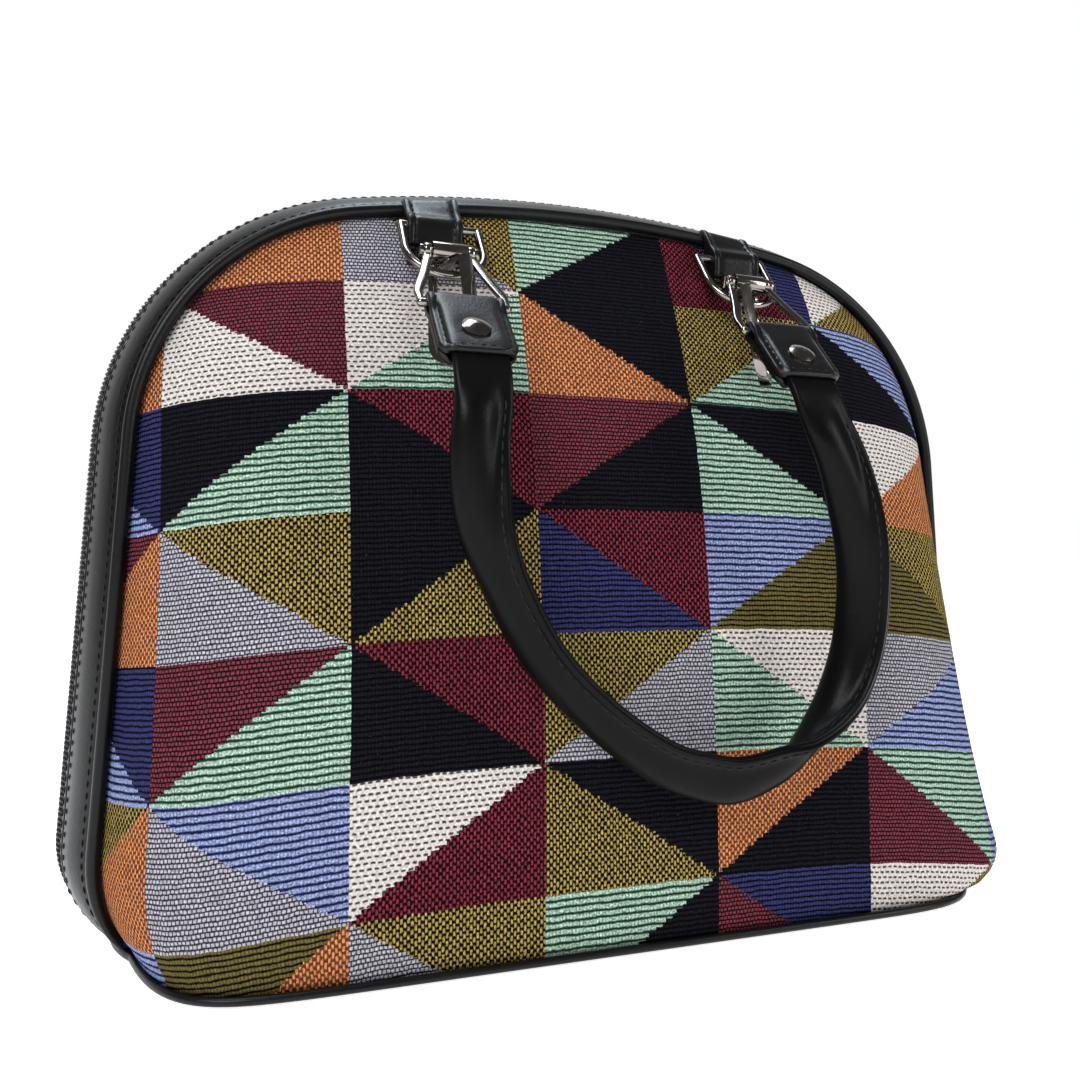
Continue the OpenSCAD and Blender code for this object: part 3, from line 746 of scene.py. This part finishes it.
# Rows of the base plate from its underside to its top: offset and height, or no offset at its centre
BASE_ROWS = [(None, 0.0), (-6, 0.0), (-2.0, 0.25), (-0.3, 1.0), (-0.2, 2.2), (-3, 2.5), (None, 2.5)]


def base_point(s, off):
    """Point on the front edge of the base at a share s of its half width, moved out by off."""
    span = float(arch_x(0, EDGE_IN))
    x, y = s * span, -float(depth_at(np.array(s), BASE_T, LOW_BOXINESS))
    full = 1 - (BASE_T / PANEL_TOP) ** FULLNESS
    steep = LOW_BOXINESS * abs(s) ** (LOW_BOXINESS - 1) / span
    slope = -np.sign(s) * (BASE_D / 2 - EDGE_Y) * full * steep
    return np.array([x, y]) + off * np.array([-slope, -1]) / math.hypot(slope, 1)


def base_line(off, steps=90, end_steps=24):
    """Outline of the base moved out by off."""
    front = [base_point(math.sin(math.pi * i / steps - math.pi / 2), off) for i in range(steps + 1)]
    corner, reach = base_point(1.0, off), BAG_W / 2 - 1 + off
    end = []
    for i in range(1, end_steps):
        y = -corner[1] * (2 * i / end_steps - 1)
        end.append(np.array([reach - (reach - corner[0]) * (y / corner[1]) ** 2, y]))
    return front + end + [-p for p in front] + [-p for p in end]


def make_base():
    """The base plate and the slim covered cord along its seam."""
    rings = []
    for m, n in zip(base_line(BASE_CORD_OUT), base_line(BASE_CORD_OUT - 1)):
        d = unit(m - n)
        ring = []
        for a in circle_angles(14):
            out = BASE_CORD_R * math.cos(a)
            ring.append((m[0] + out * d[0], m[1] + out * d[1], BASE_CORD_Z + BASE_CORD_R * math.sin(a)))
        rings.append(ring)
    add_closed("base_piping_cord", skin(rings, loop=True), "bag", PIPING_LEATHER, "base_piping")
    rings = []
    for off, z in BASE_ROWS:
        line = [q * BASE_CENTRE for q in base_line(BASE_INNER)] if off is None else base_line(off)
        rings.append([(q[0], q[1], z) for q in line])
    add_closed("base_plate", skin(rings), "bag", LEATHER, "base_panel")


# Hardware places seen from the side: the ring's bar, its bow and the hook's pin
BAR_Z = BAG_H - 25
BAR_D = panel_depth(HOOK_X, BAR_Z) + 5.2
BOW_LEN = LEG_LEN + BOW_R
BOW_D = BAR_D + BOW_LEN * math.sin(RING_LEAN)
BOW_Z = BAR_Z - BOW_LEN * math.cos(RING_LEAN)
PIN_D = BOW_D - NECK_LEN * math.sin(HOOK_LEAN)
PIN_Z = BOW_Z + NECK_LEN * math.cos(HOOK_LEAN)

# Strap: keys, path and the direction of its sewn edge, as in the part
STRAP_FROM, STRAP_TO = LOOP_LEN + 8.5, LOOP_LEN + FLAP_LEN
END_Z = PIN_Z - STRAP_TO * math.cos(FLAP_LEAN)
END_D = PIN_D + STRAP_TO * math.sin(FLAP_LEAN)
DROP = END_Z - STRAP_LOW
# Share of the drop, place outward, place forward and share of the skew
HANG = [(0.1, 1.5, 4.2, 0.05), (0.22, 5.5, 5.0, 0.15), (0.376, 7.7, 4.2, 0.29), (0.517, 5.4, 2.8, 0.46),
        (0.68, -1.8, 1.2, 0.66), (0.82, -14.5, 0.2, 0.85), (0.933, -31.5, -0.3, 0.97), (0.98, -45.5, -0.4, 1)]
TURNS = [(-1, (1, 0, 0)), (-0.84, (1, 0, 0)), (-0.5, (0.55, -0.83, 0)), (0, (0.1, -0.5, 0.86)),
         (0.5, (0.6, -0.8, 0)), (0.84, (1, 0, 0)), (1, (1, 0, 0))]
# Half section of the strap from its sewn edge to its roll: place across and height
SECTION = [(9.0, 1.25), (8.75, 1.6), (7.6, 1.65), (6.3, 1.6), (5.0, 1.7), (3.9, 2.15), (2.4, 3.15),
           (0.2, 3.95), (-2.6, 4.25), (-5.4, 3.9), (-7.4, 2.9), (-8.5, 1.7), (-8.95, 0.6)]
SECTION_NICK = [(9.0, -0.3), (8.55, 0.0), (9.0, 0.3)]
PAD_END, PAD_FADE, FLAT_H = 0.93, 0.13, 1.45
STRAP_SEAM, STRAP_SEAM_H, STRAP_SEAM_END = 6.4, 1.6, 0.86


def flap_point(s, t):
    return np.array([s * HOOK_X, -PIN_D - t * math.sin(FLAP_LEAN), PIN_Z - t * math.cos(FLAP_LEAN)])


def hang_point(s, k):
    return np.array([s * (HOOK_X + k[1]) + STRAP_SKEW * k[3], -END_D - k[2], END_Z - DROP * k[0]])


def turn_at(p):
    """Direction of the sewn edge at a share p of the way from the middle."""
    for (a, va), (b, vb) in zip(TURNS, TURNS[1:]):
        if a <= p <= b:
            u = float(smooth_step((p - a) / (b - a)))
            return np.array(va, float) * (1 - u) + np.array(vb, float) * u
    return np.array(TURNS[-1][1], float)


def strap_frames(cuts=9):
    """Points along the strap with its edge direction, its face direction and the share of the way."""
    keys = [flap_point(-1, STRAP_FROM), flap_point(-1, STRAP_TO)]
    keys += [hang_point(-1, k) for k in HANG]
    keys.append(np.array([STRAP_SKEW, -END_D + 0.4, STRAP_LOW]))
    keys += [hang_point(1, k) for k in reversed(HANG)]
    keys += [flap_point(1, STRAP_TO), flap_point(1, STRAP_FROM)]
    count = 3 * (len(keys) - 3) + 3
    pts, js = [], []
    for u in np.linspace(0, 1, cuts, endpoint=False):
        pts.append(keys[0] * (1 - u) + keys[1] * u)
        js.append(u)
    for i in range(1, len(keys) - 2):
        for u in np.linspace(0, 1, cuts, endpoint=False):
            pts.append(curve_at(keys[i - 1], keys[i], keys[i + 1], keys[i + 2], u))
            js.append(1 + 3 * (i - 1) + 3 * u)
    for u in np.linspace(0, 1, cuts + 1):
        pts.append(keys[-2] * (1 - u) + keys[-1] * u)
        js.append(count - 2 + u)
    out = []
    for j, p in enumerate(pts):
        t = unit(pts[min(len(pts) - 1, j + 1)] - pts[max(0, j - 1)])
        share = 2 * js[j] / (count - 1) - 1
        w = turn_at(share)
        w = unit(w - t * (w @ t))
        out.append((p, w, np.cross(t, w), share))
    return out


def make_strap(back):
    """The padded strap: a filled roll with a flat sewn edge."""
    side = side_name(back)
    flip = np.array([1, -1 if back else 1, 1])
    rings, top, low = [], [], []
    for p, w, b, share in strap_frames():
        pad = float(smooth_step((PAD_END - abs(share)) / PAD_FADE))
        ring = [(x, h * pad + min(h, FLAT_H) * (1 - pad)) for x, h in SECTION]
        ring += [(x, -h) for x, h in reversed(ring)]
        rings.append([(p + w * x + b * h) * flip for x, h in ring + SECTION_NICK])
        if abs(share) < STRAP_SEAM_END:
            top.append(((p + w * STRAP_SEAM + b * STRAP_SEAM_H) * flip, b * flip))
            low.append(((p + w * STRAP_SEAM - b * STRAP_SEAM_H) * flip, -b * flip))
    body = side + "_handle"
    obj = add_closed(side + "_strap_roll", skin(rings), body, STRAP_LEATHER, side + "_strap")
    parts = []
    for run in (top, low):
        parts.append(stitches([q for q, _ in run], [n for _, n in run], length=3.0, gap=1.1, radius=0.32))
    add_object(side + "_strap_stitching", join_parts(parts), body, THREAD)


# Leather strips with a sewn edge
RIM_R, GROOVE, GROOVE_W, WELT_RUN = 0.95, 0.26, 0.42, 1.1
SEWN_DEEP = 0.2


def side_offset(inset, border, welt):
    """Rise of a leather face near its side edge: a rounded rim, a welt and a sewn groove."""
    rim = -RIM_R * (1 - np.sqrt(np.clip(1 - (1 - np.clip(inset / RIM_R, 0, 1)) ** 2, 0, 1)))
    groove = -GROOVE * np.exp(-(((inset - border) / GROOVE_W) ** 2))
    raised = welt * smooth_step((border - inset) / WELT_RUN)
    return rim + groove + raised


def edge_stations(half, border):
    """Places across a strip, closer together near its edges."""
    rim = [0.0, 0.12, 0.35, 0.7, 1.1, 1.6]
    seam = [border - 0.7, border - 0.35, border, border + 0.35, border + 0.8]
    left = -half + np.array(rim + seam + list(np.linspace(border + 2.0, half, 6)))
    return np.concatenate([left, -left[-2::-1]])


# Ring tab: its face from the band down to the bar, as (depth, height), then its layered tail
TAB_FACE = [(29.7, 258.8), (30.1, 259.7), (31.5, 259.9), (33.6, 258.7), (36.2, 255.6), (38.9, 252.2),
            (41.8, 249.6), (BAR_D + 3.4, 246.8), (BAR_D + 3.4, 244.2), (BAR_D + 3.2, 241.6),
            (BAR_D + 3.0, 240.0)]
# Height and rise over the tab's rear
TAB_TAIL = [(239.3, 3.0), (238.1, 3.9), (236.9, 2.4), (235.7, 3.2), (234.6, 1.8), (233.5, 2.5), (232.7, 1.6)]
TAB_INNER = [(34.5, 250.5), (34.5, 256.4), (32.9, 258.4), (30.6, 258.3)]
TAB_LOW, TAB_SLIT_LOW, TAB_SLIT_HIGH = 232.5, 246.9, 247.2
TAB_BORDER, TAB_WELT, TAB_BORE, TAB_BORE_GAP = 2.9, 0.4, 1.6, 0.08
TAB_SLANT, SLANT_FROM, SLANT_RUN = 0.115, 249, 7
TAB_SEWN = slice(18, 58)


def tab_rear(z):
    """Depth of the tab's rear face, just clear of the panel."""
    return panel_depth(TAB_X - TAB_W / 2, z) + 0.25


def tab_slant(x, z):
    """Shift in height that lets the tab's upper end follow the slope of the arch."""
    return -TAB_SLANT * x * float(smooth_step((z - SLANT_FROM) / SLANT_RUN))


def make_tab(q, s, back):
    """The ring tab: a strip sewn below the band, folded over the ring's bar, with a layered tail."""
    face = smooth_line(TAB_FACE + [(tab_rear(z) + lift, z) for z, lift in TAB_TAIL], 90)
    run = np.gradient(face, axis=0)
    out = np.stack([-run[:, 1], run[:, 0]], 1)
    out /= np.linalg.norm(out, axis=1)[:, None]
    rear = [(tab_rear(z), z) for z in np.linspace(TAB_LOW, TAB_SLIT_LOW, 12)]
    for a in np.linspace(TAB_BORE_GAP, 2 * math.pi - TAB_BORE_GAP, 24):
        rear.append((BAR_D - TAB_BORE * math.cos(a), BAR_Z - TAB_BORE * math.sin(a)))
    rear += [(tab_rear(TAB_SLIT_HIGH), TAB_SLIT_HIGH)] + TAB_INNER
    flip = np.array([s, 1 if back else -1, 1])
    rings = []
    for x in edge_stations(TAB_W / 2, TAB_BORDER):
        rise = float(side_offset(np.array(TAB_W / 2 - abs(x)), TAB_BORDER, TAB_WELT))
        ring = [tuple(a) for a in face + out * rise] + rear
        rings.append([np.array([TAB_X + x, d, z + tab_slant(x, z)]) * flip for d, z in ring])
    obj = add_closed(q + "_tab_leather", skin(rings), "bag", LEATHER, q + "_tab")
    obj.data.set_sharp_from_angle(angle=math.radians(50))
    parts = []
    for x in (TAB_BORDER - TAB_W / 2, TAB_W / 2 - TAB_BORDER):
        line, normals = [], []
        for (d, z), n in zip(face[TAB_SEWN], out[TAB_SEWN]):
            place = np.array([TAB_X + x, d - SEWN_DEEP * n[0], z + tab_slant(x, z) - SEWN_DEEP * n[1]])
            line.append(place * flip)
            normals.append(np.array([0, n[0], n[1]]) * flip)
        parts.append(stitches(line, normals, length=2.2, gap=0.9))
    add_object(q + "_tab_stitching", join_parts(parts), "bag", THREAD)


# End flap: half its sheet, its middle layer round the loop's bar, its corners and its sewn border
FLAP_SHEET, FLAP_LAYER, FLAP_CORNER, FLAP_BORDER, FLAP_WELT = 1.0, 2.6, 4.6, 2.4, 0.12
FLAP_ENDS = np.array([0.0, 0.12, 0.35, 0.7, 1.1, 1.6, 2.2, 3.0, 4.0, 5.2])
END_ROUND, END_START = 0.9, 0.04
PRESS, PRESS_FROM, PRESS_RUN = 1.35, 8.9, 2.4
PRESS_START, PRESS_LEN = 1.5, 6
DIMPLE, DIMPLE_R, PUFF = 0.3, 6.0, 0.18
INNER_IN = 0.25


def flap_place(s, back, x, t, h):
    """Place on a flap: x across it, t along it from the pivot, h towards the viewer."""
    along = np.array([0, math.sin(FLAP_LEAN), -math.cos(FLAP_LEAN)])
    away = np.array([0, math.cos(FLAP_LEAN), math.sin(FLAP_LEAN)])
    p = np.array([HOOK_X + x, PIN_D, PIN_Z]) + along * t + away * h
    return p * np.array([s, 1 if back else -1, 1])


def flap_press(x, t):
    """How far the flap's sheet closes in beside the strap."""
    lengthwise = float(smooth_step((t - LOOP_LEN - PRESS_START) / PRESS_LEN))
    return PRESS * smooth_step((np.abs(x) - PRESS_FROM) / PRESS_RUN) * lengthwise


def make_flap(q, body, s, back):
    """The end flap: one sheet folded round the loop's bar, its sides pressed together and sewn."""
    far = LOOP_LEN + FLAP_LEN
    runs = np.concatenate([far - FLAP_ENDS, np.linspace(far - 6.6, LOOP_LEN + 0.6, 18)])
    # along, height, direction of the face and distance from the end
    path = [(t, -FLAP_LAYER, 0.0, -1.0, far - t) for t in runs]
    for a in np.linspace(-90, 90, 15):
        c, k = math.cos(math.radians(a)), math.sin(math.radians(a))
        path.append((LOOP_LEN - FLAP_LAYER * c, FLAP_LAYER * k, -c, k, FLAP_LEN))
    path += [(t, FLAP_LAYER, 0.0, 1.0, far - t) for t in runs[::-1]]
    rings, sewn = [], []
    for t, h, nt, nh, e in path:
        half = FLAP_W / 2
        if e < FLAP_CORNER:
            half -= FLAP_CORNER - math.sqrt(FLAP_CORNER**2 - (FLAP_CORNER - e) ** 2)
        ease = 1 - min(1.0, (e + END_START) / END_ROUND)
        thin = FLAP_SHEET * math.sqrt(max(0.0, 1 - ease**2))
        places = edge_stations(half, FLAP_BORDER)
        inset = half - np.abs(places)
        rise = side_offset(inset, FLAP_BORDER, FLAP_WELT)
        # the sheet closes in beside the strap, and round the rivet
        span = np.hypot(places, t - RIVET_AT)
        dimple = DIMPLE * np.exp(-((span / DIMPLE_R) ** 4)) * abs(nh) * (t > LOOP_LEN)
        press = flap_press(places, t) + dimple
        puff = PUFF * smooth_step((inset - FLAP_BORDER) / 3) * float(smooth_step((e - 1.5) / 4))
        lift = thin + rise - press + puff
        sink = thin + press
        ring = [(x, t + nt * k, h + nh * k) for x, k in zip(places, lift)]
        inner = [(x * (1 - INNER_IN / half), t - nt * k, h - nh * k) for x, k in zip(places, sink)]
        rings.append([flap_place(s, back, x, a, b) for x, a, b in ring + inner[::-1]])
        if nh == 1.0 and e > FLAP_BORDER:
            sewn.append((t, half - FLAP_BORDER))
    obj = add_closed(q + "_flap_leather", skin(rings), body, FLAP_LEATHER, q + "_flap")
    obj.data.set_sharp_from_angle(angle=math.radians(60))
    straight = FLAP_W / 2 - FLAP_CORNER
    rows = [[(x, far - FLAP_BORDER) for x in np.linspace(-straight, straight, 20)]]
    rows += [[(sign * x, t) for t, x in sewn] for sign in (-1, 1)]
    up = flap_place(s, back, 0, 0, 1) - flap_place(s, back, 0, 0, 0)
    height = FLAP_LAYER + FLAP_SHEET - SEWN_DEEP
    parts = []
    for row in rows:
        line = [flap_place(s, back, x, t, height - flap_press(x, t)) for x, t in row]
        parts.append(stitches(line, [up] * len(line), length=2.3, gap=0.9))
    add_object(q + "_flap_stitching", join_parts(parts), body, THREAD)


# Hook loop: the line of an arm as (across, along), its eye as (across, radius) and its bar
LOOP_HALF = FLAP_W / 2 + 1.6
ARM_LINE = [(7.6, 1.9), (8.1, 4.5), (10.9, 15.0), (13.2, 22.0), (LOOP_HALF, 26.0), (LOOP_HALF, 29.5),
            (LOOP_HALF, 32.2)]
ARM_CUTS, ARM_WIDE, ARM_TAPER, ARM_THICK, ARM_SQUARE = 40, 1.75, 0.55, 0.95, 0.5
EYE_BORE = PIN_R + 0.05
EYE = [(6.5, EYE_BORE), (8.7, EYE_BORE), (8.8, EYE_BORE + 0.15), (8.8, 2.55), (8.55, 2.8), (6.65, 2.8),
       (6.4, 2.55), (6.4, EYE_BORE + 0.15)]
LOOP_BAR_R, LOOP_BAR_CAP = 1.5, 1.45


def squared(value):
    """A sine or cosine pushed towards a flat-sided section."""
    return math.copysign(abs(value) ** ARM_SQUARE, value)


def make_loop(q, body, s, back):
    """The hook's loop: two flat arms with eyes on the pins, and a round bar for the flap."""
    line = smooth_line(ARM_LINE, ARM_CUTS)
    run = np.gradient(line, axis=0)
    run /= np.linalg.norm(run, axis=1)[:, None]
    parts = []
    for side in (-1, 1):
        rings = []
        for k, ((x, t), (dx, dt)) in enumerate(zip(line, run)):
            wide = ARM_WIDE - ARM_TAPER * float(smooth_step((k / (ARM_CUTS - 1) - 0.5) / 0.35))
            ring = []
            for a in circle_angles(16):
                c, h = squared(math.cos(a)) * wide, squared(math.sin(a)) * ARM_THICK
                ring.append(flap_place(s, back, side * (x + dt * c), t - dx * c, h))
            rings.append(ring)
        parts.append(skin(rings))
        rings = []
        for a in circle_angles(28):
            rings.append([flap_place(s, back, side * x, r * math.cos(a), r * math.sin(a)) for x, r in EYE])
        parts.append(skin(rings, loop=True))
    caps = []
    for a in np.radians((85, 65, 45, 20)):
        caps.append((LOOP_HALF + LOOP_BAR_CAP * math.sin(a), LOOP_BAR_R * math.cos(a)))
    bar = [(-x, r) for x, r in caps] + [(-LOOP_HALF, LOOP_BAR_R), (LOOP_HALF, LOOP_BAR_R)] + caps[::-1]
    rings = []
    for x, r in bar:
        turn = [(LOOP_LEN + r * math.cos(a), r * math.sin(a)) for a in circle_angles(16)]
        rings.append([flap_place(s, back, x, t, h) for t, h in turn])
    parts.append(skin(rings))
    obj = add_closed(q + "_loop_metal", join_parts(parts), body, METAL, q + "_loop")
    obj.data.set_sharp_from_angle(angle=math.radians(50))


# Soft body and straps
for back in (False, True):
    make_panel(back)
    make_band(back)
    make_piping(back)
    make_tape(back)
    make_strap(back)
make_coil()
make_base()

# Hardware: claws, gates, barrels and zip parts are rounded copies, rings, rivets and board stay as they are
for back in (False, True):
    side = side_name(back)
    for hand, sign in (("left", -1), ("right", 1)):
        q = side + "_" + hand
        make_tab(q, sign, back)
        make_flap(q, side + "_handle", sign, back)
        rounded_copy(q + "_claw", q + "_claw_metal", 0.7)
        rounded_copy(q + "_gate", q + "_gate_metal", 0.4)
        make_loop(q, side + "_handle", sign, back)
        rounded_copy(q + "_barrel", q + "_barrel_metal", 0.45)
        coat(q + "_ring", METAL)
    coat(side + "_rivets", METAL)
rounded_copy("zip_slider", "zip_slider_body", 0.35)
rounded_copy("zip_pull", "zip_pull_tab", 0.3)
coat("base_board", BOARD)

# Floor
FLOOR_HALF = 6
corners = [(-FLOOR_HALF, -FLOOR_HALF, 0), (FLOOR_HALF, -FLOOR_HALF, 0), (FLOOR_HALF, FLOOR_HALF, 0),
           (-FLOOR_HALF, FLOOR_HALF, 0)]
floor = bpy.data.objects.new("floor", bpy.data.meshes.new("floor"))
floor.data.from_pydata(corners, [], [(0, 1, 2, 3)])
bpy.context.scene.collection.objects.link(floor)
ground = Tree("pale_floor")
mottle = ground.noise(ground.place(), scale=3.0, detail=2)
pale = ground.tones(mottle, dark=(0.93, 0.93, 0.93), light=(0.95, 0.95, 0.95))
white = (1.0, 1.0, 1.0, 1.0)
floor.data.materials.append(
    ground.set(Base_Color=pale, Roughness=0.9, Emission_Color=white, Emission_Strength=0.85)
)

# Light: a backdrop that is white behind the bag and dim elsewhere, and three soft lamps
BACKDROP_FROM, BACKDROP_TO, BACKDROP_DIM, BACKDROP_FULL = 0.22, 0.62, 0.11, 1.0
world = bpy.data.worlds.new("studio")
bpy.context.scene.world = world
world.use_nodes = True
sky = world.node_tree
aim = sky.nodes.new("ShaderNodeTexCoord")
parts = sky.nodes.new("ShaderNodeSeparateXYZ")
sky.links.new(aim.outputs["Generated"], parts.inputs[0])
backdrop = sky.nodes.new("ShaderNodeMapRange")
backdrop.interpolation_type = "SMOOTHSTEP"
for socket, value in zip(backdrop.inputs[1:5], (BACKDROP_FROM, BACKDROP_TO, BACKDROP_DIM, BACKDROP_FULL)):
    socket.default_value = value
sky.links.new(parts.outputs[1], backdrop.inputs[0])
sky.links.new(backdrop.outputs[0], sky.nodes["Background"].inputs[1])
sky.nodes["Background"].inputs[0].default_value = white


def area_light(name, place, aim, size, power, colour=(1, 1, 1)):
    """A soft rectangular lamp at a place, aimed at a point."""
    data = bpy.data.lights.new(name, "AREA")
    data.shape = "RECTANGLE"
    data.size, data.size_y = size
    data.energy = power
    data.color = colour
    obj = bpy.data.objects.new(name, data)
    obj.location = place
    obj.rotation_euler = (Vector(aim) - Vector(place)).to_track_quat("-Z", "Y").to_euler()
    bpy.context.scene.collection.objects.link(obj)


area_light("key", (-1.1, -1.3, 1.25), (0, 0, 0.15), size=(0.8, 0.8), power=27, colour=(0.97, 0.985, 1.0))
area_light("top", (-0.15, 0.15, 1.7), (0, 0, 0.2), size=(1.0, 0.5), power=20, colour=(0.84, 0.92, 1.0))
area_light("side", (1.2, -1.2, 0.7), (0, 0, 0.15), size=(0.4, 0.9), power=10)

# Camera: angles in radians, distances in metres, focal length and centre in pixels of a square frame
YAW, PITCH, ROLL = -0.35025, -0.063238, 0.0039
DIST, TARGET_Z = 0.41876, 0.1579
FRAME_PX, FOCAL, CENTRE_X, CENTRE_Y = 1080, 1029.6, 554.3, 488.1
SENSOR = 36.0
back_dir = Vector((math.sin(YAW) * math.cos(PITCH), -math.cos(YAW) * math.cos(PITCH), math.sin(PITCH)))
level = Vector((math.cos(YAW), math.sin(YAW), 0))
upright = level.cross(-back_dir)
right = level * math.cos(ROLL) + upright * math.sin(ROLL)
up = upright * math.cos(ROLL) - level * math.sin(ROLL)
pose = Matrix((right, up, back_dir)).transposed().to_4x4()
pose.translation = Vector((0, 0, TARGET_Z)) + back_dir * DIST
camera = bpy.data.objects.new("camera", bpy.data.cameras.new("camera"))
camera.matrix_world = pose
camera.data.sensor_width = SENSOR
camera.data.lens = FOCAL / FRAME_PX * SENSOR
camera.data.shift_x = (FRAME_PX / 2 - CENTRE_X) / FRAME_PX
camera.data.shift_y = (CENTRE_Y - FRAME_PX / 2) / FRAME_PX
camera.data.clip_start, camera.data.clip_end = 0.01, 50
bpy.context.scene.collection.objects.link(camera)
bpy.context.scene.camera = camera
bpy.context.scene.view_settings.view_transform = "Standard"

bpy.context.view_layer.update()
